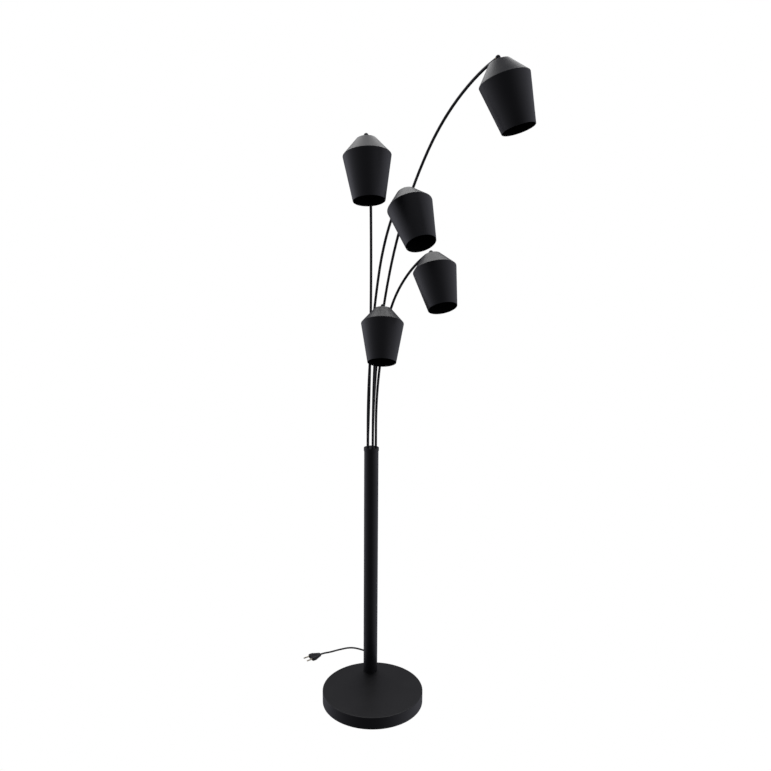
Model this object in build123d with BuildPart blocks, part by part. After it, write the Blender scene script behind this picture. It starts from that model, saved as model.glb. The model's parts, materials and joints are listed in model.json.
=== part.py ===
"""Tree floor lamp: round base, upright pole, five bent arms and five conical shades.

Millimetres, +Z up. The origin is the centre of the base's underside, on the floor. The
pole stands near the rear rim, on +Y, and the arms lean over the base towards -Y.
"""

import os
from dataclasses import dataclass
from math import cos, radians, sin, sqrt, tan

from build123d import *

os.makedirs("parts", exist_ok=True)

# ---------------------------------------------------------------- base
base_radius = 140.0
base_height = 35.0
cover_wall = 1.5
cover_edge_radius = 2.5
cover_lift = 1.0  # the cover's lower edge stays this far above the floor
pad_thickness = 3.0
pad_gap = 0.5  # round the pad, inside the cover
weight_gap = 1.5  # round the weight, inside the cover
weight_thickness = 12.0
weight_lip_width = 8.0
weight_boss_radius = 30.0
wire_channel_width = 14.0

# ---------------------------------------------------------------- pole and its foot
pole_radius = 20.0
pole_wall = 1.5
pole_inset = 42.4  # pole axis to the base's rear rim
pole_top = 698.0
slip_fit = 0.05  # radial clearance of a plug, spigot or bolt in its hole
foot_plug_height = 12.0
bolt_radius = 4.0
bolt_head_across = 13.0
bolt_head_height = 5.3
bolt_recess_radius = 11.0
bolt_recess_depth = 6.5
wire_hole_radius = 4.0
wire_hole_offset = 11.5

# ---------------------------------------------------------------- collar
collar_radius = 21.0
collar_height = 10.0
collar_edge_radius = 1.0
spigot_length = 22.0
spigot_wall = 1.35
hole_circle_radius = 12.4
clamp_plate_thickness = 4.0
clamp_plate_gap = 0.1
centre_screw_radius = 2.5
centre_screw_head_radius = 5.0
centre_screw_head_depth = 2.6
centre_screw_tail = 5.0  # past the clamp plate
grub_radius = 2.0
grub_angles = (60.0, 120.0)  # round the pole, at its back
grub_below_plate = 4.0

# ---------------------------------------------------------------- arms
tube_radius = 3.4
tube_wall = 0.8
running_fit = 0.06  # radial clearance of a turning tube or journal
side_bend_radius = 300.0  # where an arm starts to lean to one side
foot_ring_width = 1.0
foot_ring_height = 7.8
foot_ring_play = 0.1  # above and below the ring
foot_tail = 2.0  # tube past the clamp plate
end_straight = 18.0  # straight stretch before the shade's axis
tip_shoulder_gap = 0.5  # tube end to knob
journal_radius = 3.0
journal_reach = 2.0  # past the knob's axis
journal_bore_radius = 1.7
groove_depth = 0.7
groove_width = 3.2

# ---------------------------------------------------------------- knob and its stem
knob_radius = 5.3
knob_drop = 9.0  # arm's end axis to the shade's flat top
knob_screw_radius = 1.5
knob_screw_sink = 0.6  # below the dome's top
wire_turn_room = 1.6  # in the knob, past the journal
stem_radius = 4.0
stem_length = 8.5  # below the shade's flat top
stem_bore_radius = 2.6
nut_across = 13.0
nut_height = 3.5

# ---------------------------------------------------------------- shade
shade_top_radius = 22.5
shade_wide_radius = 55.0
shade_mouth_radius = 36.5
shade_upper_height = 39.5
shade_lower_height = 104.0
shade_wall = 1.0

# ---------------------------------------------------------------- lamp holder
holder_radius = 12.0
holder_length = 46.0
holder_wall = 3.0
holder_cap_height = 8.0
holder_neck_radius = 8.0
holder_neck_height = 5.0

# ---------------------------------------------------------------- push switch on the pole's back
switch_drop = 58.0  # below the pole's top
switch_bushing_radius = 6.0
switch_bezel_radius = 8.0
switch_bezel_height = 2.0
switch_body_radius = 8.5
switch_body_depth = 18.0
switch_button_radius = 4.5
switch_button_out = 3.5  # past the bezel
switch_travel = 2.5
switch_stop_width = 0.8

# ---------------------------------------------------------------- cord, gland and plug
cord_radius = 2.6
cord_floor_gap = 0.1
gland_height = 28.0
gland_angle = 4.0  # round the base's rear rim, from +Y towards -X
gland_length = 20.0
gland_root_radius = 5.0
gland_tip_radius = 3.6
gland_hole_radius = 4.0
gland_flange_radius = 5.5
gland_flange_thickness = 1.5
gland_rim_gap = 0.2  # lets the flat flange and root clear the round skirt
lead_straight = 10.4  # cord straight out of the gland
hank_turns = 5
hank_pitch = 5.7
hank_half_length = 52.0  # waist to the middle of the end bend
hank_half_waist = 2.9
hank_centre_x = 6.0
hank_rim_gap = 86.6  # its middle to the base's rear rim
hank_floor_gap = 1.4  # below its lowest turn, for the tie
hank_sample_step = 2.0  # along the cord, when its gap to itself is measured
tie_thickness = 1.0
tie_width = 6.0
tie_gap = 0.3
plug_length = 34.0
plug_rear_width = 12.0
plug_rear_height = 8.0
plug_front_width = 30.0
plug_front_height = 13.0
plug_grip_length = 22.0  # tapering part, from the cord
plug_edge_radius = 1.5
plug_cord_depth = 4.0
pin_depth = 8.0  # inside the plug
pin_radius = 2.0
pin_length = 19.0
pin_spacing = 19.0


@dataclass(frozen=True)
class Arm:
    """One bent arm: where it starts, how it bends, and how its shade is turned."""

    hole_angle: float  # of its hole round the collar, from +X
    heading: float  # of its plane, from -Y towards +X
    rise: float  # straight stretch above the collar
    bends: tuple  # (radius, angle) of each arc, from the collar up
    roll: float  # of the shade about the arm's end
    side_lean: float = 0.0  # of its plane, to the right seen from the front


arms = {
    1: Arm(68.1, 26.65, 5.0, ((1445.0, 19.37), (926.4, 20.86), (534.4, 25.04), (386.4, 7.15)), 8.9),
    2: Arm(135.3, -9.44, 24.1, ((1570.5, 22.05), (369.3, 29.53), (121.2, 20.72)), 4.4, 1.63),
    3: Arm(-147.9, 20.45, 62.8, ((1342.2, 18.3), (458.1, 22.85), (205.1, 13.83)), -0.1),
    4: Arm(-3.9, 44.05, 62.5, ((1099.1, 15.6), (303.5, 39.06), (60.0, 8.58)), -13.5),
    5: Arm(-75.9, 14.65, 40.0, ((1735.2, 10.33), (55.0, 54.35)), -9.1),
}

# ---------------------------------------------------------------- worked-out places
pole_offset = base_radius - pole_inset
cover_top_inside = base_height - cover_wall
weight_floor = pad_thickness + weight_thickness
pole_bore = pole_radius - pole_wall
pole_axis = Vector(0, pole_offset, 0)
collar_top = pole_top + collar_height
spigot_radius = pole_bore - slip_fit
spigot_bore = spigot_radius - spigot_wall
foot_ring_bottom = pole_top - foot_ring_play - foot_ring_height
clamp_plate_top = foot_ring_bottom - foot_ring_play
clamp_plate_bottom = clamp_plate_top - clamp_plate_thickness
arm_foot = clamp_plate_bottom - foot_tail
arm_hole_radius = tube_radius + running_fit
tube_bore = tube_radius - tube_wall
grub_height = clamp_plate_bottom - grub_below_plate
tube_stop = knob_radius + tip_shoulder_gap  # tube end to the shade's axis
stem_in_holder = stem_length - shade_wall - nut_height
gland_out = Vector(-sin(radians(gland_angle)), cos(radians(gland_angle)), 0)
gland_point = gland_out * base_radius + Vector(0, 0, gland_height)
switch_height = pole_top - switch_drop
cord_height = cord_radius + cord_floor_gap
plug_middle = plug_front_height / 2 + cord_floor_gap


def finish(builder, name):
    """Label a finished node and write its file."""
    builder.part.label = name
    export_step(builder.part, f"parts/{name}.step")


# ================================================================ base
with BuildPart() as base_pad:
    with BuildSketch():
        Circle(base_radius - cover_wall - pad_gap)
        with Locations((0, pole_offset)):
            Circle(bolt_recess_radius, mode=Mode.SUBTRACT)
    extrude(amount=pad_thickness)
finish(base_pad, "base_pad")

with BuildPart() as base_weight:
    weight_radius = base_radius - cover_wall - weight_gap
    with BuildSketch(Plane.XY.offset(pad_thickness)):
        Circle(weight_radius)
    extrude(amount=weight_thickness)
    with BuildSketch(Plane.XY.offset(weight_floor)):
        Circle(weight_radius)
        Circle(weight_radius - weight_lip_width, mode=Mode.SUBTRACT)
        with Locations((0, pole_offset)):
            Circle(weight_boss_radius)
        Circle(weight_radius, mode=Mode.INTERSECT)
    extrude(amount=cover_top_inside - weight_floor)
    # the channel takes the cord from the gland to the hole under the pole
    wire_hole = pole_axis + (0, wire_hole_offset, weight_floor)
    towards_gland = gland_out * base_radius + (0, 0, weight_floor) - wire_hole
    with BuildSketch(Plane(wire_hole, x_dir=towards_gland, z_dir=(0, 0, 1))):
        Rectangle(2 * towards_gland.length, wire_channel_width)
    extrude(amount=base_height - weight_floor, mode=Mode.SUBTRACT)
    with BuildSketch(Plane.XY.offset(pad_thickness)):
        with Locations((0, pole_offset)):
            Circle(bolt_radius + slip_fit)
    extrude(amount=base_height, mode=Mode.SUBTRACT)
    with BuildSketch(Plane.XY.offset(pad_thickness)):
        with Locations((0, pole_offset)):
            Circle(bolt_recess_radius)
    extrude(amount=bolt_recess_depth, mode=Mode.SUBTRACT)
finish(base_weight, "base_weight")

with BuildPart() as base_cover:
    with BuildSketch(Plane.XY.offset(cover_lift)):
        Circle(base_radius)
    extrude(amount=base_height - cover_lift)
    fillet(base_cover.faces().sort_by(Axis.Z)[-1].edges(), radius=cover_edge_radius)
    with BuildSketch(Plane.XY.offset(cover_lift)):
        Circle(base_radius - cover_wall)
    extrude(amount=cover_top_inside - cover_lift, mode=Mode.SUBTRACT)
    with BuildSketch(Plane.XY.offset(cover_top_inside)):
        with Locations((0, pole_offset)):
            Circle(bolt_radius + slip_fit)
        with Locations((0, pole_offset + wire_hole_offset)):
            Circle(wire_hole_radius)
    extrude(amount=cover_wall, mode=Mode.SUBTRACT)
    with BuildSketch(Plane(gland_point + gland_out, z_dir=gland_out * -1)):
        Circle(gland_hole_radius + slip_fit)
    extrude(amount=4 * cover_wall, mode=Mode.SUBTRACT)
finish(base_cover, "base_cover")

with BuildPart() as foot_plug:
    with BuildSketch(Plane(pole_axis + (0, 0, base_height))):
        Circle(pole_bore - slip_fit)
        Circle(bolt_radius, mode=Mode.SUBTRACT)
        with Locations((0, wire_hole_offset)):
            Circle(wire_hole_radius, mode=Mode.SUBTRACT)
    extrude(amount=foot_plug_height)
finish(foot_plug, "foot_plug")

with BuildPart() as base_bolt:
    head_seat = pad_thickness + bolt_recess_depth
    with BuildSketch(Plane(pole_axis + (0, 0, head_seat - bolt_head_height))):
        RegularPolygon(bolt_head_across / 2, 6, major_radius=False)
    extrude(amount=bolt_head_height)
    with BuildSketch(Plane(pole_axis + (0, 0, head_seat))):
        Circle(bolt_radius)
    extrude(amount=base_height + foot_plug_height - head_seat)
finish(base_bolt, "base_bolt")

# ================================================================ pole and collar
switch_plane = Plane(
    pole_axis + (0, pole_radius, switch_height), x_dir=(-1, 0, 0), z_dir=(0, 1, 0)
)


def grub_plane(angle, radius):
    """Plane on the pole's side, facing outward at an angle from +X."""
    outward = Vector(cos(radians(angle)), sin(radians(angle)), 0)
    return Plane(pole_axis + outward * radius + (0, 0, grub_height), z_dir=outward)


with BuildPart() as pole:
    with BuildSketch(Plane(pole_axis + (0, 0, base_height))):
        Circle(pole_radius)
        Circle(pole_bore, mode=Mode.SUBTRACT)
    extrude(amount=pole_top - base_height)
    with BuildSketch(switch_plane):
        Circle(switch_bushing_radius + slip_fit)
    extrude(amount=-pole_radius, mode=Mode.SUBTRACT)
    for angle in grub_angles:
        with BuildSketch(grub_plane(angle, 0)):
            Circle(grub_radius)
        extrude(amount=2 * pole_radius, mode=Mode.SUBTRACT)
finish(pole, "pole")

with BuildPart() as collar_screws:
    for angle in grub_angles:
        with BuildSketch(grub_plane(angle, spigot_bore)):
            Circle(grub_radius)
        extrude(amount=pole_radius - spigot_bore - slip_fit)
finish(collar_screws, "collar_screws")


def hole_centre(arm):
    """Centre of an arm's hole in the collar, at floor level."""
    angle = radians(arm.hole_angle)
    return pole_axis + Vector(cos(angle), sin(angle), 0) * hole_circle_radius


with BuildPart() as collar:
    with BuildSketch(Plane(pole_axis + (0, 0, pole_top))):
        Circle(collar_radius)
    extrude(amount=collar_height)
    fillet(collar.edges(), radius=collar_edge_radius)
    with BuildSketch(Plane(pole_axis + (0, 0, pole_top - spigot_length))):
        Circle(spigot_radius)
        Circle(spigot_bore, mode=Mode.SUBTRACT)
    extrude(amount=spigot_length)
    with BuildSketch(Plane.XY.offset(pole_top)):
        for arm in arms.values():
            with Locations(hole_centre(arm)):
                Circle(arm_hole_radius)
        with Locations((0, pole_offset)):
            Circle(centre_screw_radius + slip_fit)
    extrude(amount=collar_height, mode=Mode.SUBTRACT)
    with BuildSketch(Plane(pole_axis + (0, 0, collar_top - centre_screw_head_depth))):
        Circle(centre_screw_head_radius + slip_fit)
    extrude(amount=centre_screw_head_depth, mode=Mode.SUBTRACT)
    for angle in grub_angles:
        with BuildSketch(grub_plane(angle, 0)):
            Circle(grub_radius)
        extrude(amount=2 * pole_radius, mode=Mode.SUBTRACT)
finish(collar, "collar")

with BuildPart() as clamp_plate:
    with BuildSketch(Plane.XY.offset(clamp_plate_bottom)):
        with Locations((0, pole_offset)):
            Circle(spigot_bore - clamp_plate_gap)
            Circle(centre_screw_radius, mode=Mode.SUBTRACT)
        for arm in arms.values():
            with Locations(hole_centre(arm)):
                Circle(arm_hole_radius, mode=Mode.SUBTRACT)
    extrude(amount=clamp_plate_thickness)
finish(clamp_plate, "clamp_plate")

with BuildPart() as centre_screw:
    screw_foot = clamp_plate_bottom - centre_screw_tail
    with BuildSketch(Plane(pole_axis + (0, 0, screw_foot))):
        Circle(centre_screw_radius)
    extrude(amount=collar_top - centre_screw_head_depth - screw_foot)
    with BuildSketch(Plane(pole_axis + (0, 0, collar_top - centre_screw_head_depth))):
        Circle(centre_screw_head_radius)
    extrude(amount=centre_screw_head_depth)
finish(centre_screw, "centre_screw")

# ================================================================ push switch
button_stem_radius = switch_button_radius + switch_stop_width
bushing_bore = switch_button_radius + running_fit

with BuildPart() as switch_body:
    with BuildSketch(switch_plane):
        Circle(switch_bezel_radius)
    extrude(amount=switch_bezel_height)
    with BuildSketch(switch_plane):
        Circle(switch_bushing_radius)
    extrude(amount=-switch_body_depth)
    with BuildSketch(switch_plane.offset(-pole_wall - switch_body_depth)):
        Circle(switch_body_radius)
    extrude(amount=switch_body_depth - switch_travel)
    # the rear of the bore lets the button's stop ring travel
    with BuildSketch(switch_plane.offset(-switch_body_depth)):
        Circle(bushing_bore)
    extrude(amount=switch_body_depth + switch_bezel_height, mode=Mode.SUBTRACT)
    with BuildSketch(switch_plane.offset(-switch_body_depth)):
        Circle(button_stem_radius + running_fit)
    extrude(amount=switch_body_depth - pole_wall, mode=Mode.SUBTRACT)
finish(switch_body, "switch_body")

with BuildPart() as switch_button:
    with BuildSketch(switch_plane.offset(-switch_body_depth + 2 * switch_travel)):
        Circle(switch_button_radius)
    extrude(amount=switch_body_depth - 2 * switch_travel + switch_bezel_height + switch_button_out)
    fillet(switch_button.faces().sort_by(Axis.Y)[-1].edges(), radius=switch_stop_width)
    with BuildSketch(switch_plane.offset(-switch_body_depth + 2 * switch_travel)):
        Circle(button_stem_radius)
    extrude(amount=switch_body_depth - 2 * switch_travel - pole_wall - running_fit)
finish(switch_button, "switch_button")


# ================================================================ arms and shades
def upright_plane(arm):
    """Plane across an arm's heading: x to the right, y up, origin at the collar's top."""
    heading = radians(arm.heading)
    right = Vector(cos(heading), sin(heading), 0)
    origin = hole_centre(arm) + (0, 0, collar_top)
    return Plane(origin, x_dir=right, z_dir=right.cross(Vector(0, 0, 1)))


def bend_plane(arm):
    """Plane that an arm bends in: x leans outward, y up the arm, origin above its rise."""
    upright = upright_plane(arm)
    lean = radians(arm.side_lean)
    up = upright.y_dir * cos(lean) + upright.x_dir * sin(lean)
    aside = upright.x_dir * side_bend_radius * (1 - cos(lean))
    rise = upright.y_dir * (arm.rise + side_bend_radius * sin(lean))
    return Plane(upright.origin + aside + rise, x_dir=upright.z_dir, z_dir=upright.z_dir.cross(up))


def arm_end(arm):
    """Crossing of an arm's end with its shade's axis, and the arm's direction there."""
    out, up, lean = 0.0, 0.0, 0.0
    for radius, angle in arm.bends:
        out += radius * (cos(radians(lean)) - cos(radians(lean + angle)))
        up += radius * (sin(radians(lean + angle)) - sin(radians(lean)))
        lean += angle
    plane = bend_plane(arm)
    tangent = plane.x_dir * sin(radians(lean)) + plane.y_dir * cos(radians(lean))
    point = plane.origin + plane.x_dir * out + plane.y_dir * up + tangent * end_straight
    return point, tangent


def shade_plane(arm):
    """Plane through a shade's axis: x along the arm's end, y up the shade's axis."""
    point, tangent = arm_end(arm)
    side = Vector(0, 0, 1).cross(tangent).normalized()
    down = side.cross(tangent)
    roll = radians(arm.roll)
    axis_up = (down * cos(roll) + side * sin(roll)) * -1
    return Plane(point, x_dir=tangent, z_dir=tangent.cross(axis_up))


def make_arm_tube(arm):
    """Bent tube from its foot in the collar to just short of the knob."""
    with BuildPart() as tube:
        with BuildLine(upright_plane(arm)):
            foot = Line((0, arm_foot - collar_top), (0, arm.rise))
            if arm.side_lean:
                JernArc(foot @ 1, foot % 1, side_bend_radius, -arm.side_lean)
        plane = bend_plane(arm)
        with BuildLine(plane):
            point, direction = plane.origin, plane.y_dir
            for radius, angle in arm.bends:
                arc = JernArc(point, direction, radius, -angle)
                point, direction = arc @ 1, arc % 1
            Line(point, point + direction * (end_straight - tube_stop))
        with BuildSketch(Plane(hole_centre(arm) + (0, 0, arm_foot))):
            Circle(tube_radius)
            Circle(tube_bore, mode=Mode.SUBTRACT)
        sweep()
    return tube


def make_arm_ring(arm):
    """Ring pressed on the arm's foot, held between the collar and the clamp plate."""
    with BuildPart() as ring:
        with BuildSketch(Plane(hole_centre(arm) + (0, 0, foot_ring_bottom))):
            Circle(tube_radius + foot_ring_width)
            Circle(tube_radius, mode=Mode.SUBTRACT)
        extrude(amount=foot_ring_height)
    return ring


def make_arm_tip(arm):
    """Grooved bush in the arm's end, the journal that the knob turns on."""
    point, tangent = arm_end(arm)
    with BuildPart() as tip:
        with BuildSketch(Plane(point - tangent * end_straight, z_dir=tangent)):
            Circle(tube_bore)
        extrude(amount=end_straight - tube_stop)
        with BuildSketch(Plane(point - tangent * tube_stop, z_dir=tangent)):
            Circle(journal_radius)
        extrude(amount=tube_stop + journal_reach)
        with BuildSketch(Plane(point - tangent * groove_width / 2, z_dir=tangent)):
            Circle(journal_radius)
            Circle(journal_radius - groove_depth, mode=Mode.SUBTRACT)
        extrude(amount=groove_width, mode=Mode.SUBTRACT)
        with BuildSketch(Plane(point - tangent * end_straight, z_dir=tangent)):
            Circle(journal_bore_radius)
        extrude(amount=end_straight + journal_reach, mode=Mode.SUBTRACT)
    return tip


def make_knob(arm):
    """Domed knob with its hollow stem; its side bore turns on the arm's tip."""
    plane = shade_plane(arm)
    up = plane.y_dir
    with BuildPart() as knob:
        with BuildSketch(plane):
            with BuildLine():
                Line((0, knob_radius), (0, -knob_drop - stem_length))
                Line((0, -knob_drop - stem_length), (stem_radius, -knob_drop - stem_length))
                Line((stem_radius, -knob_drop - stem_length), (stem_radius, -knob_drop))
                Line((stem_radius, -knob_drop), (knob_radius, -knob_drop))
                Line((knob_radius, -knob_drop), (knob_radius, 0))
                CenterArc((0, 0), knob_radius, 0, 90)
            make_face()
        revolve(axis=Axis(plane.origin, up))
        with BuildSketch(Plane(plane.origin - plane.x_dir * 2 * knob_radius, z_dir=plane.x_dir)):
            Circle(journal_radius + running_fit)
        extrude(amount=2 * knob_radius + journal_reach + wire_turn_room, mode=Mode.SUBTRACT)
        with BuildSketch(Plane(plane.origin, z_dir=up)):
            Circle(knob_screw_radius)
        extrude(amount=2 * knob_radius, mode=Mode.SUBTRACT)
        with BuildSketch(Plane(plane.origin - up * journal_radius / 2, z_dir=up * -1)):
            Circle(stem_bore_radius)
        extrude(amount=knob_drop + stem_length, mode=Mode.SUBTRACT)
    return knob


def make_knob_screw(arm):
    """Grub screw in the knob's top whose end runs in the tip's groove."""
    plane = shade_plane(arm)
    up = plane.y_dir
    screw_end = journal_radius - groove_depth + running_fit
    with BuildPart() as screw:
        with BuildSketch(Plane(plane.origin + up * screw_end, z_dir=up)):
            Circle(knob_screw_radius)
        extrude(amount=knob_radius - knob_screw_sink - screw_end)
    return screw


def shade_outlines():
    """Half outlines of a shade's outside and inside, as radius and depth below its flat top."""
    upper_slope = (shade_wide_radius - shade_top_radius) / shade_upper_height
    lower_slope = (shade_wide_radius - shade_mouth_radius) / shade_lower_height
    upper_inset = shade_wall * sqrt(1 + upper_slope**2)
    lower_inset = shade_wall * sqrt(1 + lower_slope**2)
    mouth_depth = shade_upper_height + shade_lower_height
    outside = [
        (0, 0),
        (shade_top_radius, 0),
        (shade_wide_radius, shade_upper_height),
        (shade_mouth_radius, mouth_depth),
        (0, mouth_depth),
    ]
    insets = upper_inset - lower_inset
    rise = shade_wide_radius - shade_top_radius + lower_slope * shade_upper_height
    wide_depth = (rise + insets) / (upper_slope + lower_slope)
    inside = [
        (0, shade_wall),
        (shade_top_radius + upper_slope * shade_wall - upper_inset, shade_wall),
        (shade_top_radius + upper_slope * wide_depth - upper_inset, wide_depth),
        (shade_mouth_radius - lower_inset, mouth_depth),
        (0, mouth_depth),
    ]
    return outside, inside


def make_shade(arm):
    """Spun shade: flat top, flared upper cone, long lower cone, open mouth."""
    plane = shade_plane(arm)
    up = plane.y_dir
    outside, inside = shade_outlines()
    with BuildPart() as shade:
        for outline, mode in ((outside, Mode.ADD), (inside, Mode.SUBTRACT)):
            with BuildSketch(plane):
                with BuildLine():
                    Polyline(*[(radius, -knob_drop - depth) for radius, depth in outline], close=True)
                make_face()
            revolve(axis=Axis(plane.origin, up), mode=mode)
        with BuildSketch(Plane(plane.origin, z_dir=up * -1)):
            Circle(stem_radius + slip_fit)
        extrude(amount=knob_drop + 2 * shade_wall, mode=Mode.SUBTRACT)
    return shade


def make_lock_nut(arm):
    """Hexagon nut on the stem, under the shade's flat top."""
    plane = shade_plane(arm)
    up = plane.y_dir
    with BuildPart() as nut:
        with BuildSketch(Plane(plane.origin - up * (knob_drop + shade_wall), z_dir=up * -1)):
            RegularPolygon(nut_across / 2, 6, major_radius=False)
            Circle(stem_radius, mode=Mode.SUBTRACT)
        extrude(amount=nut_height)
    return nut


def make_holder(arm):
    """Lamp holder screwed on the stem, open towards the shade's mouth."""
    plane = shade_plane(arm)
    down = plane.y_dir * -1
    neck = plane.origin + down * (knob_drop + shade_wall + nut_height)
    with BuildPart() as holder:
        with BuildSketch(Plane(neck, z_dir=down)):
            Circle(holder_neck_radius)
        extrude(amount=holder_neck_height)
        with BuildSketch(Plane(neck + down * holder_neck_height, z_dir=down)):
            Circle(holder_radius)
        extrude(amount=holder_length)
        with BuildSketch(Plane(neck + down * (holder_neck_height + holder_cap_height), z_dir=down)):
            Circle(holder_radius - holder_wall)
        extrude(amount=holder_length, mode=Mode.SUBTRACT)
        with BuildSketch(Plane(neck, z_dir=down)):
            Circle(stem_radius)
        extrude(amount=stem_in_holder, mode=Mode.SUBTRACT)
        with BuildSketch(Plane(neck, z_dir=down)):
            Circle(stem_bore_radius)
        extrude(amount=holder_neck_height + holder_cap_height, mode=Mode.SUBTRACT)
    return holder


makers = {
    "arm_tube": make_arm_tube,
    "arm_ring": make_arm_ring,
    "arm_tip": make_arm_tip,
    "knob": make_knob,
    "knob_screw": make_knob_screw,
    "shade": make_shade,
    "lock_nut": make_lock_nut,
    "lamp_holder": make_holder,
}
for number, arm in arms.items():
    for name, maker in makers.items():
        finish(maker(arm), f"{name}_{number}")
    point, tangent = arm_end(arm)
    foot = hole_centre(arm)
    print(f"arm {number}: foot ({foot.X:.2f}, {foot.Y:.2f}), end {point}, towards {tangent}")

# ================================================================ cord
with BuildPart() as cord_gland:
    with BuildSketch(Plane(gland_point, x_dir=gland_out.cross(Vector(0, 0, 1)), z_dir=(0, 0, 1))):
        flange_front = -cover_wall - gland_rim_gap
        flange_back = flange_front - gland_flange_thickness
        with BuildLine():
            Polyline(
                (0, flange_back),
                (gland_flange_radius, flange_back),
                (gland_flange_radius, flange_front),
                (gland_hole_radius, flange_front),
                (gland_hole_radius, gland_rim_gap),
                (gland_root_radius, gland_rim_gap),
                (gland_tip_radius, gland_length),
                (0, gland_length),
                close=True,
            )
        make_face()
    revolve(axis=Axis(gland_point, gland_out))
    with BuildSketch(Plane(gland_point + gland_out * gland_length, z_dir=gland_out * -1)):
        Circle(cord_radius)
    extrude(amount=2 * gland_length, mode=Mode.SUBTRACT)
finish(cord_gland, "cord_gland")

cord_width = 2 * cord_radius
hank_centre_y = base_radius + hank_rim_gap
hank_low = cord_radius + hank_floor_gap
hank_top = hank_low + hank_turns * hank_pitch
waist_left = hank_centre_x - hank_half_waist
lead_start = gland_point + gland_out * gland_length
hank_start = Vector(waist_left, hank_centre_y - cord_width, hank_top)
hank_end = Vector(waist_left, hank_centre_y + cord_width, hank_low)



def behind(across, back, height):
    """Point behind the base: across from its middle, back from its rear rim."""
    return Vector(across, base_radius + back, height)


# hand-chosen corners of the cord's free stretches, from the gland to the hank and on to the plug
lead_points = (
    lead_start,
    lead_start + gland_out * lead_straight,
    behind(-11.5, 46.0, hank_top),
    behind(waist_left, 66.0, hank_top),
    hank_start,
)
run_points = (
    hank_end,
    behind(waist_left, 111.0, hank_low),
    behind(-14.0, 132.0, cord_height),
    behind(-48.0, 149.0, cord_height),
    behind(-84.0, 138.0, cord_height),
    behind(-118.0, 122.0, cord_height),
    behind(-134.0, 112.4, plug_middle),
    behind(-149.0, 103.3, plug_middle),
)
corner_share = 0.45  # of the shorter run, taken by each corner's arc


def corner_radii(points):
    """Radius of the arc at each inner corner of a route."""
    radii = []
    for before, corner, after in zip(points, points[1:], points[2:]):
        run_in = corner - before
        run_out = after - corner
        half_turn = radians(run_in.get_angle(run_out)) / 2
        radii.append(corner_share * min(run_in.length, run_out.length) / tan(half_turn))
    return radii


def make_cord(points):
    """Free stretch of the cord: straight runs joined by tangent arcs."""
    radii = corner_radii(points)
    print("cord corner radii", [round(radius, 1) for radius in radii])
    with BuildPart() as stretch:
        with BuildLine():
            route = FilletPolyline(*points, radius=radii)
        with BuildSketch(Plane(route @ 0, z_dir=route % 0)):
            Circle(cord_radius)
        sweep()
    tube_volume = 3.14159265 * cord_radius**2 * route.length
    print(f"cord length {route.length:.1f}, volume share {stretch.part.volume / tube_volume:.4f}")
    return stretch


def biarc(start, start_dir, end, end_dir):
    """Two arcs in space that leave start and reach end along the given directions."""
    chord = end - start
    along = chord.dot(start_dir + end_dir)
    bend = 1 - start_dir.dot(end_dir)
    reach = (sqrt(along**2 + 2 * bend * chord.dot(chord)) - along) / (2 * bend)
    start_handle = start + start_dir * reach
    end_handle = end - end_dir * reach
    middle = (start_handle + end_handle) * 0.5
    TangentArc(start, middle, tangent=start_dir)
    TangentArc(middle, end, tangent=(end_handle - start_handle).normalized())


def hank_stations():
    """Points and directions at every quarter turn of the hank, from its top down."""
    slope = Vector(0, -1, -hank_pitch / hank_half_length).normalized()
    waist_right = hank_centre_x + hank_half_waist
    far_end = hank_centre_y + hank_half_length
    near_end = hank_centre_y - hank_half_length
    stations = [(Vector(waist_left, hank_centre_y, hank_top), Vector(0, 1, 0))]
    for turn in range(hank_turns):
        level = hank_top - turn * hank_pitch
        below = level - hank_pitch
        stations.append((Vector(hank_centre_x, far_end, level), Vector(1, 0, 0)))
        stations.append((Vector(waist_right, hank_centre_y, (level + below) / 2), slope))
        stations.append((Vector(hank_centre_x, near_end, below), Vector(-1, 0, 0)))
        stations.append((Vector(waist_left, hank_centre_y, below), Vector(0, 1, 0)))
    return stations


def least_gap(route):
    """Least gap between parts of a cord that are over three widths apart along it."""
    count = int(route.length / hank_sample_step)
    samples = [route.position_at(index / count) for index in range(count + 1)]
    skip = int(3 * cord_width / hank_sample_step) + 1
    least = route.length
    for index, here in enumerate(samples):
        for other in samples[index + skip :]:
            least = min(least, (here - other).length)
    return least - cord_width


with BuildPart() as cord_hank:
    stations = hank_stations()
    with BuildLine() as hank_line:
        Line(hank_start, stations[0][0])
        for (start, start_dir), (end, end_dir) in zip(stations, stations[1:]):
            biarc(start, start_dir, end, end_dir)
        Line(stations[-1][0], hank_end)
    hank_route = hank_line.wire()
    with BuildSketch(Plane(hank_start, z_dir=(0, 1, 0))):
        Circle(cord_radius)
    sweep(path=hank_route)
print(f"hank length {hank_route.length:.1f}, least gap to itself {least_gap(hank_route):.2f}")
finish(cord_hank, "cord_hank")
cord_lead = make_cord(lead_points)
finish(cord_lead, "cord_lead")
cord_run = make_cord(run_points)
finish(cord_run, "cord_run")

with BuildPart() as cord_tie:
    tie_half_width = hank_half_waist + cord_radius + tie_gap
    tie_low = hank_low - cord_radius - tie_gap
    tie_high = hank_top + cord_radius + tie_gap
    tie_middle = Vector(hank_centre_x, hank_centre_y, (tie_low + tie_high) / 2)
    with BuildSketch(Plane(tie_middle, x_dir=(1, 0, 0), z_dir=(0, 1, 0))):
        RectangleRounded(
            2 * (tie_half_width + tie_thickness),
            tie_high - tie_low + 2 * tie_thickness,
            cord_radius + tie_gap + tie_thickness,
        )
        RectangleRounded(
            2 * tie_half_width,
            tie_high - tie_low,
            cord_radius + tie_gap,
            mode=Mode.SUBTRACT,
        )
    extrude(amount=tie_width / 2, both=True)
finish(cord_tie, "cord_tie")

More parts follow.
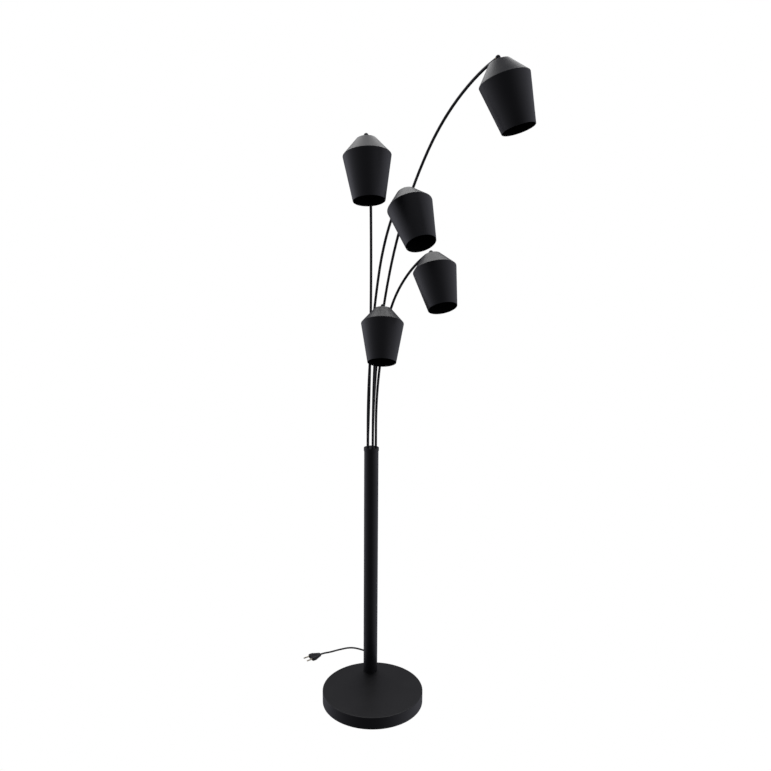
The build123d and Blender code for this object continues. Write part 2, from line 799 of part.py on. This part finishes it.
# ================================================================ plug
plug_dir = (run_points[-1] - run_points[-2]).normalized()
plug_start = run_points[-1] - plug_dir * plug_cord_depth
plug_plane = Plane(plug_start, x_dir=plug_dir.cross(Vector(0, 0, 1)), z_dir=plug_dir)
plug_face_plane = plug_plane.offset(plug_grip_length)

with BuildPart() as plug:
    with BuildSketch(plug_plane):
        RectangleRounded(plug_rear_width, plug_rear_height, plug_edge_radius)
    with BuildSketch(plug_face_plane):
        RectangleRounded(plug_front_width, plug_front_height, plug_edge_radius)
    loft(ruled=True)
    with BuildSketch(plug_face_plane):
        RectangleRounded(plug_front_width, plug_front_height, plug_edge_radius)
    extrude(amount=plug_length - plug_grip_length)
    with BuildSketch(plug_plane):
        Circle(cord_radius)
    extrude(amount=plug_cord_depth, mode=Mode.SUBTRACT)
    with BuildSketch(plug_face_plane.offset(plug_length - plug_grip_length - pin_depth)):
        with GridLocations(pin_spacing, 0, 2, 1):
            Circle(pin_radius)
    extrude(amount=pin_depth, mode=Mode.SUBTRACT)
finish(plug, "plug")

with BuildPart() as plug_pins:
    with BuildSketch(plug_face_plane.offset(plug_length - plug_grip_length - pin_depth)):
        with GridLocations(pin_spacing, 0, 2, 1):
            Circle(pin_radius)
    extrude(amount=pin_depth + pin_length)
finish(plug_pins, "plug_pins")
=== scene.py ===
"""Looks of a tree floor lamp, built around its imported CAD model.

Every length is in metres, in the frame of the CAD model: the origin is the centre of the
base's underside, +Z is up, and the arms lean towards -Y.
"""

import json
import logging
import math
from dataclasses import dataclass
from enum import Enum

import bmesh
import bpy
from mathutils import Matrix, Vector

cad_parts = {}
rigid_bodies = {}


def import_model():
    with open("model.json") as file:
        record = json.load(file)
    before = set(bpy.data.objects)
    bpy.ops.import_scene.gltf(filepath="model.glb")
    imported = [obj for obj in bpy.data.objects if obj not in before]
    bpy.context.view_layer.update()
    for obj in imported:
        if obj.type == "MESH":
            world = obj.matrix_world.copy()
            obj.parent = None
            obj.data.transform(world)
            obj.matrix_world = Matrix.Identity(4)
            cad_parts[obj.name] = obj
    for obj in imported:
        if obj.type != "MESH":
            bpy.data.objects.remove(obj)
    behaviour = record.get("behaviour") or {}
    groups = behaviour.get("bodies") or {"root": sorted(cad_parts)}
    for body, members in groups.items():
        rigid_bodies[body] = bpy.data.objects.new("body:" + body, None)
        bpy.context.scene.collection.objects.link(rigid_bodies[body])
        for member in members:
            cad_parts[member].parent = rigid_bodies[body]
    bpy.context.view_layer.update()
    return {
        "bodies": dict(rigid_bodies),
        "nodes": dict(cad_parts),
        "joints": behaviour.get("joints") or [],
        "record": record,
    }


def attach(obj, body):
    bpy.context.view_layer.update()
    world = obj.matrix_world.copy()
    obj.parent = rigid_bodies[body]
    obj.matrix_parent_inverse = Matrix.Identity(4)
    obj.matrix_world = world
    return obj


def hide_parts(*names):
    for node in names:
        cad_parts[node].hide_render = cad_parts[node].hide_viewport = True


LOG = logging.getLogger("scene")
MM = 0.001
FULL_TURN = 2.0 * math.pi


class Slot(str, Enum):
    """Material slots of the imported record."""

    BLACK_COAT = "black_coat"
    CAST_IRON = "cast_iron"
    PAD_RUBBER = "pad_rubber"
    ZINC_STEEL = "zinc_steel"
    BLACK_STEEL = "black_steel"
    TIP_BRASS = "tip_brass"
    HOLDER_PLASTIC = "holder_plastic"
    BLACK_PLASTIC = "black_plastic"
    BUTTON_PLASTIC = "button_plastic"
    CORD_JACKET = "cord_jacket"
    PLUG_BRASS = "plug_brass"


@dataclass(frozen=True)
class Finish:
    """One surface: its colour, gloss and fine relief.

    Attributes:
        colour: linear RGB of the surface.
        roughness: middle roughness of the surface.
        metallic: 1.0 for bare metal, 0.0 for everything else.
        grain: size of the relief's features, in metres.
        relief: height of the relief, in metres.
        stretch: how much the relief is drawn out along Z.
        blotch: share by which the colour varies over the surface.
        specular: strength of the reflection on a surface that isn't bare metal.
    """

    colour: tuple[float, float, float]
    roughness: float
    metallic: float = 0.0
    grain: float = 0.0006
    relief: float = 0.00002
    stretch: float = 1.0
    blotch: float = 0.12
    specular: float = 0.5


FINISHES: dict[Slot, Finish] = {
    Slot.BLACK_COAT: Finish((0.006, 0.006, 0.0063), 0.42, grain=0.0005, relief=0.000004),
    Slot.CAST_IRON: Finish((0.09, 0.088, 0.085), 0.7, metallic=0.6, grain=0.0015, relief=0.0002),
    Slot.PAD_RUBBER: Finish((0.02, 0.02, 0.02), 0.85, grain=0.0009, relief=0.00008),
    Slot.ZINC_STEEL: Finish((0.5, 0.51, 0.53), 0.32, metallic=1.0, grain=0.0007, stretch=6.0),
    Slot.BLACK_STEEL: Finish((0.02, 0.02, 0.021), 0.3, metallic=0.3, grain=0.0006),
    Slot.TIP_BRASS: Finish((0.55, 0.38, 0.13), 0.28, metallic=1.0, grain=0.0004),
    Slot.HOLDER_PLASTIC: Finish((0.012, 0.012, 0.012), 0.5, grain=0.0008),
    Slot.BLACK_PLASTIC: Finish((0.01, 0.01, 0.01), 0.45, grain=0.0007),
    Slot.BUTTON_PLASTIC: Finish((0.008, 0.008, 0.008), 0.2, grain=0.0009, relief=0.000005),
    Slot.CORD_JACKET: Finish((0.01, 0.01, 0.01), 0.5, grain=0.0004, relief=0.00001),
    Slot.PLUG_BRASS: Finish((0.6, 0.55, 0.42), 0.25, metallic=1.0, grain=0.0004, stretch=5.0),
}


class Paint:
    """Makes one procedural material for each material slot."""

    CLOUD_SCALE = 18.0
    GLOSS_SPREAD = 0.05

    def __init__(self) -> None:
        self._made: dict[Slot, bpy.types.Material] = {}

    def material(self, slot: Slot) -> bpy.types.Material:
        """Return a slot's material, made on its first use.

        Args:
            slot: the record's material slot.

        Returns:
            The Blender material.
        """
        if slot not in self._made:
            self._made[slot] = self._build(slot.value, FINISHES[slot])
        return self._made[slot]

    def _build(self, name: str, finish: Finish) -> bpy.types.Material:
        """Build the node tree of one finish.

        Args:
            name: the material's name.
            finish: what the surface is like.

        Returns:
            The new material.
        """
        material = bpy.data.materials.new(name)
        material.use_nodes = True
        tree = material.node_tree
        shader = tree.nodes["Principled BSDF"]
        shader.inputs["Metallic"].default_value = finish.metallic
        shader.inputs["Specular IOR Level"].default_value = finish.specular

        place = tree.nodes.new("ShaderNodeTexCoord")
        scale = tree.nodes.new("ShaderNodeMapping")
        scale.inputs["Scale"].default_value = (1.0, 1.0, 1.0 / finish.stretch)
        tree.links.new(place.outputs["Object"], scale.inputs["Vector"])

        grain = tree.nodes.new("ShaderNodeTexNoise")
        grain.inputs["Scale"].default_value = 1.0 / finish.grain
        grain.inputs["Detail"].default_value = 3.0
        cloud = tree.nodes.new("ShaderNodeTexNoise")
        cloud.inputs["Scale"].default_value = self.CLOUD_SCALE
        cloud.inputs["Detail"].default_value = 4.0
        for noise in (grain, cloud):
            tree.links.new(scale.outputs["Vector"], noise.inputs["Vector"])

        shade = tree.nodes.new("ShaderNodeValToRGB")
        shares = (1.0 - finish.blotch, 1.0 + finish.blotch)
        for stop, share in zip(shade.color_ramp.elements, shares):
            stop.color = (*(channel * share for channel in finish.colour), 1.0)
        shade.color_ramp.elements[0].position = 0.35
        shade.color_ramp.elements[1].position = 0.65
        tree.links.new(cloud.outputs["Fac"], shade.inputs["Fac"])
        tree.links.new(shade.outputs["Color"], shader.inputs["Base Color"])

        gloss = tree.nodes.new("ShaderNodeMapRange")
        gloss.inputs["To Min"].default_value = finish.roughness - self.GLOSS_SPREAD
        gloss.inputs["To Max"].default_value = finish.roughness + self.GLOSS_SPREAD
        tree.links.new(cloud.outputs["Fac"], gloss.inputs["Value"])
        tree.links.new(gloss.outputs["Result"], shader.inputs["Roughness"])

        bump = tree.nodes.new("ShaderNodeBump")
        bump.inputs["Distance"].default_value = finish.relief
        tree.links.new(grain.outputs["Fac"], bump.inputs["Height"])
        tree.links.new(bump.outputs["Normal"], shader.inputs["Normal"])
        return material


@dataclass(frozen=True)
class Arm:
    """Where one arm ends and how its shade hangs there.

    Attributes:
        number: the arm's number in the node names.
        joint: crossing of the arm's end with its shade's axis.
        along: direction of the arm's end, the axis that the shade turns about.
        up: direction of the shade's axis, from its mouth to its flat top.
    """

    number: int
    joint: Vector
    along: Vector
    up: Vector

    @property
    def body(self) -> str:
        """Name of the CAD body that the shade's pieces ride on."""
        return f"shade_{self.number}_body"

    @property
    def place(self) -> Matrix:
        """Matrix from the shade's own frame, with +Z up its axis, to the CAD frame."""
        side = self.up.cross(self.along)
        turned = Matrix((self.along, side, self.up)).transposed().to_4x4()
        return Matrix.Translation(self.joint) @ turned


class Lathe:
    """Turns half outlines into smooth closed meshes."""

    def __init__(self, paint: Paint) -> None:
        self._paint = paint

    def turn(
        self,
        name: str,
        outline: list[tuple[float, float]],
        place: Matrix,
        slot: Slot,
        steps: int = 160,
    ) -> bpy.types.Object:
        """Spin a closed outline round the Z axis and put the result in its place.

        Args:
            name: the new piece's name.
            outline: radius and height of each corner, in metres, in order.
            place: where the outline's own frame lies in the CAD frame.
            slot: the material slot of the piece.
            steps: number of steps round the turn.

        Returns:
            The new piece.
        """
        mesh = bmesh.new()
        corners = [mesh.verts.new((radius, 0.0, height)) for radius, height in outline]
        pairs = [
            (low, high)
            for low, high in zip(corners, corners[1:] + corners[:1])
            if low.co.x > 0.0 or high.co.x > 0.0
        ]
        sides = [mesh.edges.new(pair) for pair in pairs]
        bmesh.ops.spin(
            mesh,
            geom=corners + sides,
            axis=(0.0, 0.0, 1.0),
            cent=(0.0, 0.0, 0.0),
            angle=FULL_TURN,
            steps=steps,
            use_merge=True,
        )
        bmesh.ops.remove_doubles(mesh, verts=mesh.verts, dist=1e-7)
        bmesh.ops.recalc_face_normals(mesh, faces=mesh.faces)
        bmesh.ops.transform(mesh, matrix=place, verts=mesh.verts)
        return self.settle(name, mesh, slot)

    def settle(self, name: str, mesh: bmesh.types.BMesh, slot: Slot) -> bpy.types.Object:
        """Make a smooth-shaded piece of a finished mesh.

        Args:
            name: the new piece's name.
            mesh: its mesh, which is freed.
            slot: the material slot of the piece.

        Returns:
            The new piece.
        """
        data = bpy.data.meshes.new(name)
        mesh.to_mesh(data)
        mesh.free()
        data.shade_smooth()
        data.materials.append(self._paint.material(slot))
        piece = bpy.data.objects.new(name, data)
        bpy.context.scene.collection.objects.link(piece)
        normals = piece.modifiers.new("normals", "WEIGHTED_NORMAL")
        normals.keep_sharp = True
        return piece


@dataclass(frozen=True)
class Corner:
    """One corner of a half outline.

    Attributes:
        radius: distance from the turning axis, in millimetres.
        height: height along the axis, in millimetres.
        rounding: radius that the corner is rounded to, in millimetres.
    """

    radius: float
    height: float
    rounding: float = 0.0


def rounded(corners: list[Corner], steps: int = 5) -> list[tuple[float, float]]:
    """Round the corners of a closed outline.

    Args:
        corners: the outline's corners, in order.
        steps: number of steps on each rounded corner.

    Returns:
        Radius and height of each point of the outline, in metres.
    """
    points: list[tuple[float, float]] = []
    for before, here, after in zip(corners[-1:] + corners, corners, corners[1:] + corners[:1]):
        spot = Vector((here.radius, here.height))
        back = Vector((before.radius, before.height)) - spot
        ahead = Vector((after.radius, after.height)) - spot
        if here.rounding == 0.0:
            points.append((spot.x * MM, spot.y * MM))
            continue
        half = back.angle(ahead) / 2.0
        reach = here.rounding / math.tan(half)
        first = spot + back.normalized() * reach
        last = spot + ahead.normalized() * reach
        for step in range(steps + 1):
            share = step / steps
            point = first.lerp(spot, share).lerp(spot.lerp(last, share), share)
            points.append((point.x * MM, point.y * MM))
    return points


class Shades:
    """The spun shades."""

    FLAT_TOP = -9.0
    TOP_WALL = 1.0
    BORE_RADIUS = 4.06
    TOP_RADIUS = 22.5
    SHOULDER_RADIUS = 55.0
    SHOULDER_DROP = 39.5
    MOUTH_RADIUS = 36.5
    MOUTH_DROP = 143.5
    INNER_TOP_RADIUS = 22.03
    INNER_SHOULDER_RADIUS = 53.7
    INNER_SHOULDER_DROP = 39.52
    INNER_MOUTH_RADIUS = 35.484
    OUTLINE = [
        Corner(BORE_RADIUS, FLAT_TOP),
        Corner(TOP_RADIUS, FLAT_TOP, 1.4),
        Corner(SHOULDER_RADIUS, FLAT_TOP - SHOULDER_DROP, 1.6),
        Corner(MOUTH_RADIUS, FLAT_TOP - MOUTH_DROP, 0.4),
        Corner(INNER_MOUTH_RADIUS, FLAT_TOP - MOUTH_DROP, 0.4),
        Corner(INNER_SHOULDER_RADIUS, FLAT_TOP - INNER_SHOULDER_DROP, 0.8),
        Corner(INNER_TOP_RADIUS, FLAT_TOP - TOP_WALL, 0.6),
        Corner(BORE_RADIUS, FLAT_TOP - TOP_WALL),
    ]

    def __init__(self, lathe: Lathe) -> None:
        self._lathe = lathe

    def build(self, arm: Arm) -> None:
        """Make one arm's shade, in place of its CAD node.

        Args:
            arm: the arm that the shade hangs on.
        """
        shade = self._lathe.turn(
            f"spun_shade_{arm.number}", rounded(self.OUTLINE), arm.place, Slot.BLACK_COAT
        )
        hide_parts(f"shade_{arm.number}")
        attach(shade, arm.body)


class Stand:
    """The base's cover, the one piece of the stand that isn't its CAD node."""

    RADIUS = 140.0
    TOP = 35.0
    LOW = 1.0
    WALL = 1.5

    def __init__(self, lathe: Lathe) -> None:
        self._lathe = lathe

    def build(self) -> None:
        """Make the base cover, in place of its CAD node."""
        outline = [
            Corner(0.0, self.TOP),
            Corner(self.RADIUS, self.TOP, 2.5),
            Corner(self.RADIUS, self.LOW, 0.5),
            Corner(self.RADIUS - self.WALL, self.LOW, 0.5),
            Corner(self.RADIUS - self.WALL, self.TOP - self.WALL, 1.0),
            Corner(0.0, self.TOP - self.WALL),
        ]
        cover = self._lathe.turn(
            "pressed_cover", rounded(outline), Matrix.Identity(4), Slot.BLACK_COAT, steps=256
        )
        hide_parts("base_cover")
        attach(cover, "stand")


class Cord:
    """The mains cord with its strain relief and plug."""

    DIAMETER = 0.0052
    LENGTH = 1.47
    RELIEF_LENGTH = 20.0
    PLUG_SLEEVE = 4.0
    LEAD = [
        (-11.16, 159.61, 28.0),
        (-11.89, 169.98, 28.0),
        (-11.5, 186.0, 32.5),
        (3.1, 206.0, 32.5),
    ]
    RUN = [
        (3.1, 231.8, 4.0),
        (3.1, 251.0, 4.0),
        (-14.0, 272.0, 2.7),
        (-48.0, 289.0, 2.7),
        (-84.0, 278.0, 2.7),
        (-118.0, 262.0, 2.7),
        (-134.0, 252.4, 6.6),
        (-149.0, 243.3, 6.6),
    ]
    HANK_MIDDLE = (6.0, 226.6)
    HANK_TOP = 32.5
    HANK_TURNS = 5
    HANK_PITCH = 5.7
    # x, y and share of the pitch gone down, for the control points of one turn of the hank
    HANK_TURN = [
        (-2.9, 18.5, 0.0),
        (-13.4, 41.1, 0.0),
        (-6.5, 52.0, 0.0),
        (6.5, 52.0, 0.03),
        (13.4, 41.1, 0.12),
        (2.9, 18.5, 0.32),
        (2.9, -18.5, 0.68),
        (13.4, -41.1, 0.88),
        (6.5, -52.0, 0.97),
        (-6.5, -52.0, 1.0),
        (-13.4, -41.1, 1.0),
        (-2.9, -18.5, 1.0),
    ]

    def __init__(self, lathe: Lathe, paint: Paint) -> None:
        self._lathe = lathe
        self._paint = paint

    def route(self) -> list[tuple[float, float, float]]:
        """Control points of the whole cord, in millimetres.

        Returns:
            The points, from the strain relief to the plug.
        """
        middle_x, middle_y = self.HANK_MIDDLE
        hank = [
            (middle_x + x, middle_y + y, self.HANK_TOP - (turn + down) * self.HANK_PITCH)
            for turn in range(self.HANK_TURNS)
            for x, y, down in self.HANK_TURN
        ]
        return self.LEAD + hank + self.RUN

    def build(self) -> None:
        """Make the cord as one smooth curve, and what is on it."""
        points = self.route()
        data = bpy.data.curves.new("mains_cord", "CURVE")
        data.dimensions = "3D"
        data.resolution_u = 10
        data.bevel_depth = self.DIAMETER / 2.0
        data.bevel_resolution = 6
        data.use_fill_caps = True
        spline = data.splines.new("NURBS")
        spline.points.add(len(points) - 1)
        for control, point in zip(spline.points, points):
            control.co = (*(value * MM for value in point), 1.0)
        spline.order_u = 3
        spline.use_endpoint_u = True
        data.materials.append(self._paint.material(Slot.CORD_JACKET))
        cord = bpy.data.objects.new("mains_cord", data)
        bpy.context.scene.collection.objects.link(cord)
        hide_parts("cord_lead", "cord_hank", "cord_run")
        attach(cord, "stand")
        plug = self._plug()
        relief = self._strain_relief()

    def _strain_relief(self) -> bpy.types.Object:
        """Make the ribbed, tapered strain relief at the base's rear rim.

        Returns:
            The new piece.
        """
        corners = [Corner(2.62, -3.2), Corner(5.5, -3.2, 0.3), Corner(5.5, -1.7), Corner(4.0, -1.7)]
        corners += [Corner(4.0, 0.2), Corner(5.0, 0.2, 0.5), Corner(5.0, 3.0)]
        for rib in range(5):
            root = 4.85 - 0.2 * rib
            low = 3.4 + 3.0 * rib
            corners += [Corner(root - 0.8, low), Corner(root - 0.8, low + 1.1)]
            corners += [Corner(root, low + 1.2, 0.2), Corner(root - 0.1, low + 2.9, 0.2)]
        corners += [Corner(3.6, self.RELIEF_LENGTH, 0.4)]
        corners.append(Corner(2.62, self.RELIEF_LENGTH))
        outward = Vector(self.LEAD[1]) - Vector(self.LEAD[0])
        turned = outward.to_track_quat("Z", "Y").to_matrix().to_4x4()
        rim = (Vector(self.LEAD[0]) - outward.normalized() * self.RELIEF_LENGTH) * MM
        relief = self._lathe.turn(
            "strain_relief",
            rounded(corners, steps=3),
            Matrix.Translation(rim) @ turned,
            Slot.BLACK_PLASTIC,
            steps=48,
        )
        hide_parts("cord_gland")
        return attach(relief, "stand")

    def _plug(self) -> bpy.types.Object:
        """Make the moulded plug, with finger ridges on its grip.

        Returns:
            The new piece.
        """
        # distance from the plug's rear, width and height of each section
        sections = [(0.0, 10.6, 6.6), (0.8, 12.0, 8.0)]
        for ridge in range(4):
            start = 2.6 + 4.4 * ridge
            width = 12.0 + 18.0 * start / 22.0
            height = 8.0 + 5.0 * start / 22.0
            sections += [(start, width, height), (start + 0.8, width - 1.2, height - 1.0)]
            sections.append((start + 2.2, width + 0.4, height - 0.9))
            sections.append((start + 3.0, width + 2.2, height + 0.6))
        sections += [(22.0, 30.0, 13.0), (32.8, 30.0, 13.0), (33.6, 29.4, 12.4), (34.0, 28.4, 11.4)]
        mesh = bmesh.new()
        loops = [self._section(mesh, *section) for section in sections]
        for low, high in zip(loops, loops[1:]):
            for side in range(len(low)):
                after = (side + 1) % len(low)
                mesh.faces.new((low[side], low[after], high[after], high[side]))
        mesh.faces.new(list(reversed(loops[0])))
        mesh.faces.new(loops[-1])
        last, before = Vector(self.RUN[-1]), Vector(self.RUN[-2])
        forward = (last - before).normalized()
        across = forward.cross(Vector((0.0, 0.0, 1.0)))
        turned = Matrix((across, forward.cross(across), forward)).transposed().to_4x4()
        rear = (last - forward * self.PLUG_SLEEVE) * MM
        bmesh.ops.transform(mesh, matrix=Matrix.Translation(rear) @ turned, verts=mesh.verts)
        bmesh.ops.recalc_face_normals(mesh, faces=mesh.faces)
        plug = self._lathe.settle("moulded_plug", mesh, Slot.BLACK_PLASTIC)
        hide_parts("plug")
        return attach(plug, "stand")

    @staticmethod
    def _section(mesh: bmesh.types.BMesh, along: float, width: float, height: float) -> list:
        """Add one rounded cross-section of the plug.

        Args:
            mesh: the plug's mesh.
            along: distance from the plug's rear, in millimetres.
            width: the section's width, in millimetres.
            height: the section's height, in millimetres.

        Returns:
            The section's vertices, in order.
        """
        count = 40
        loop = []
        for index in range(count):
            angle = FULL_TURN * index / count
            x = math.copysign(abs(math.cos(angle)) ** 0.45, math.cos(angle)) * width / 2.0
            y = math.copysign(abs(math.sin(angle)) ** 0.45, math.sin(angle)) * height / 2.0
            loop.append(mesh.verts.new((x * MM, y * MM, along * MM)))
        return loop


@dataclass(frozen=True)
class Panel:
    """One soft light.

    Attributes:
        name: the light's name.
        place: its middle, in metres.
        aim: the point that it faces, in metres.
        size: its width and height, in metres.
        power: its power, in watts.
    """

    name: str
    place: tuple[float, float, float]
    aim: tuple[float, float, float]
    size: tuple[float, float]
    power: float


@dataclass(frozen=True)
class Glow:
    """One bright side of the surround.

    Attributes:
        toward: direction of its middle, of length 1.
        strength: brightness at its middle.
        focus: how fast it fades away from its middle.
    """

    toward: tuple[float, float, float]
    strength: float
    focus: float


class Studio:
    """The camera, the soft lights and the white backdrop."""

    CAMERA_PLACE = (-0.1454, -2.0418, 1.2935)
    CAMERA_HEADING = math.radians(4.898)
    CAMERA_DIP = math.radians(10.849)
    CAMERA_ROLL = math.radians(0.457)
    CAMERA_LENS = 37.354
    SURROUND = 0.071
    GLOWS = [
        Glow((0.0, 0.0, 1.0), 0.236, 2.0),
        Glow((1.0, 0.0, 0.0), 0.539, 2.0),
        Glow((-1.0, 0.0, 0.0), 0.132, 2.0),
        Glow((-1.0, 0.0, 0.0), 0.202, 8.0),
        Glow((-0.8, 0.6, 0.0), 0.72, 8.0),
        Glow((0.8, 0.6, 0.0), 0.064, 8.0),
    ]
    PANELS = [
        Panel("top_back", (0.0, 1.3, 2.9), (0.0, -0.1, 1.3), (2.6, 1.4), 25.0),
    ]

    def build(self) -> None:
        """Set up the camera, the lights and the world."""
        self._camera()
        for panel in self.PANELS:
            self._panel(panel)
        self._world()

    def _camera(self) -> None:
        """Place the camera where the photograph was taken from."""
        heading, dip, roll = self.CAMERA_HEADING, self.CAMERA_DIP, self.CAMERA_ROLL
        forward = Vector(
            (
                math.sin(heading) * math.cos(dip),
                math.cos(heading) * math.cos(dip),
                -math.sin(dip),
            )
        )
        level = Vector((math.cos(heading), -math.sin(heading), 0.0))
        upright = level.cross(forward)
        right = level * math.cos(roll) + upright * math.sin(roll)
        up = upright * math.cos(roll) - level * math.sin(roll)
        data = bpy.data.cameras.new("camera")
        data.lens = self.CAMERA_LENS
        data.sensor_width = 36.0
        data.clip_start = 0.01
        camera = bpy.data.objects.new("camera", data)
        turned = Matrix((right, up, -forward)).transposed().to_4x4()
        camera.matrix_world = Matrix.Translation(Vector(self.CAMERA_PLACE)) @ turned
        bpy.context.scene.collection.objects.link(camera)
        bpy.context.scene.camera = camera

    @staticmethod
    def _panel(panel: Panel) -> None:
        """Place one soft light.

        Args:
            panel: the light's place, size and power.
        """
        data = bpy.data.lights.new(panel.name, "AREA")
        data.shape = "RECTANGLE"
        data.size, data.size_y = panel.size
        data.energy = panel.power
        light = bpy.data.objects.new(panel.name, data)
        aim = Vector(panel.aim) - Vector(panel.place)
        turned = aim.to_track_quat("-Z", "Z" if abs(aim.normalized().z) < 0.9 else "Y")
        light.matrix_world = Matrix.Translation(Vector(panel.place)) @ turned.to_matrix().to_4x4()
        bpy.context.scene.collection.objects.link(light)

    def _world(self) -> None:
        """Show white to the camera, and light the object with a dim, uneven surround."""
        world = bpy.data.worlds.new("studio")
        world.use_nodes = True
        tree = world.node_tree
        tree.nodes.clear()
        output = tree.nodes.new("ShaderNodeOutputWorld")
        seen = tree.nodes.new("ShaderNodeBackground")
        seen.inputs["Color"].default_value = (1.0, 1.0, 1.0, 1.0)
        around = tree.nodes.new("ShaderNodeBackground")
        around.inputs["Color"].default_value = (0.98, 0.98, 1.12, 1.0)
        tree.links.new(self._brightness(tree), around.inputs["Strength"])
        path = tree.nodes.new("ShaderNodeLightPath")
        choice = tree.nodes.new("ShaderNodeMixShader")
        tree.links.new(path.outputs["Is Camera Ray"], choice.inputs["Fac"])
        tree.links.new(around.outputs["Background"], choice.inputs[1])
        tree.links.new(seen.outputs["Background"], choice.inputs[2])
        tree.links.new(choice.outputs["Shader"], output.inputs["Surface"])
        bpy.context.scene.world = world
        bpy.context.scene.view_settings.view_transform = "Standard"

    def _brightness(self, tree: bpy.types.NodeTree) -> bpy.types.NodeSocket:
        """Add up the surround's brightness in every direction.

        Args:
            tree: the world's node tree.

        Returns:
            The output that gives the brightness.
        """
        place = tree.nodes.new("ShaderNodeTexCoord")
        total = tree.nodes.new("ShaderNodeValue").outputs["Value"]
        total.default_value = self.SURROUND
        for glow in self.GLOWS:
            facing = tree.nodes.new("ShaderNodeVectorMath")
            facing.operation = "DOT_PRODUCT"
            facing.inputs[1].default_value = glow.toward
            tree.links.new(place.outputs["Generated"], facing.inputs[0])
            value = facing.outputs["Value"]
            steps = (("MAXIMUM", 0.0), ("POWER", glow.focus), ("MULTIPLY", glow.strength))
            for operation, amount in steps:
                step = tree.nodes.new("ShaderNodeMath")
                step.operation = operation
                step.inputs[1].default_value = amount
                tree.links.new(value, step.inputs[0])
                value = step.outputs["Value"]
            added = tree.nodes.new("ShaderNodeMath")
            tree.links.new(total, added.inputs[0])
            tree.links.new(value, added.inputs[1])
            total = added.outputs["Value"]
        return total


class Lamp:
    """The whole lamp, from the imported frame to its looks."""

    # turn of each shade about its arm's end, in degrees, as in the CAD model
    ROLLS = {1: 8.9, 2: 4.4, 3: -0.1, 4: -13.5, 5: -9.1}

    def __init__(self, frame: dict) -> None:
        self._frame = frame
        self._paint = Paint()
        self._lathe = Lathe(self._paint)

    def arms(self) -> list[Arm]:
        """Read each arm's end from the record's joints.

        Returns:
            The arms, in the order of their numbers.
        """
        joints = {joint["name"]: joint for joint in self._frame["joints"]}
        found = []
        for number, roll in self.ROLLS.items():
            joint = joints[f"shade_{number}_turn"]
            along = Vector(joint["axis"]).normalized()
            side = Vector((0.0, 0.0, 1.0)).cross(along).normalized()
            down = side.cross(along)
            turn = math.radians(roll)
            up = -(down * math.cos(turn) + side * math.sin(turn))
            found.append(Arm(number, Vector(joint["pos_m"]), along, up))
        return found

    def build(self) -> None:
        """Paint the CAD nodes and make every piece."""
        for entry in self._frame["record"]["subparts"]:
            node = self._frame["nodes"][entry["node"]]
            node.data.materials.clear()
            node.data.materials.append(self._paint.material(Slot(entry["material_slot"])))
        Cord(self._lathe, self._paint).build()
        Stand(self._lathe).build()
        shades = Shades(self._lathe)
        for arm in self.arms():
            shades.build(arm)


def main() -> None:
    """Build the scene."""
    logging.basicConfig(level=logging.INFO)
    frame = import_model()
    Studio().build()
    Lamp(frame).build()
    bpy.context.view_layer.update()


if __name__ == "__main__":
    main()
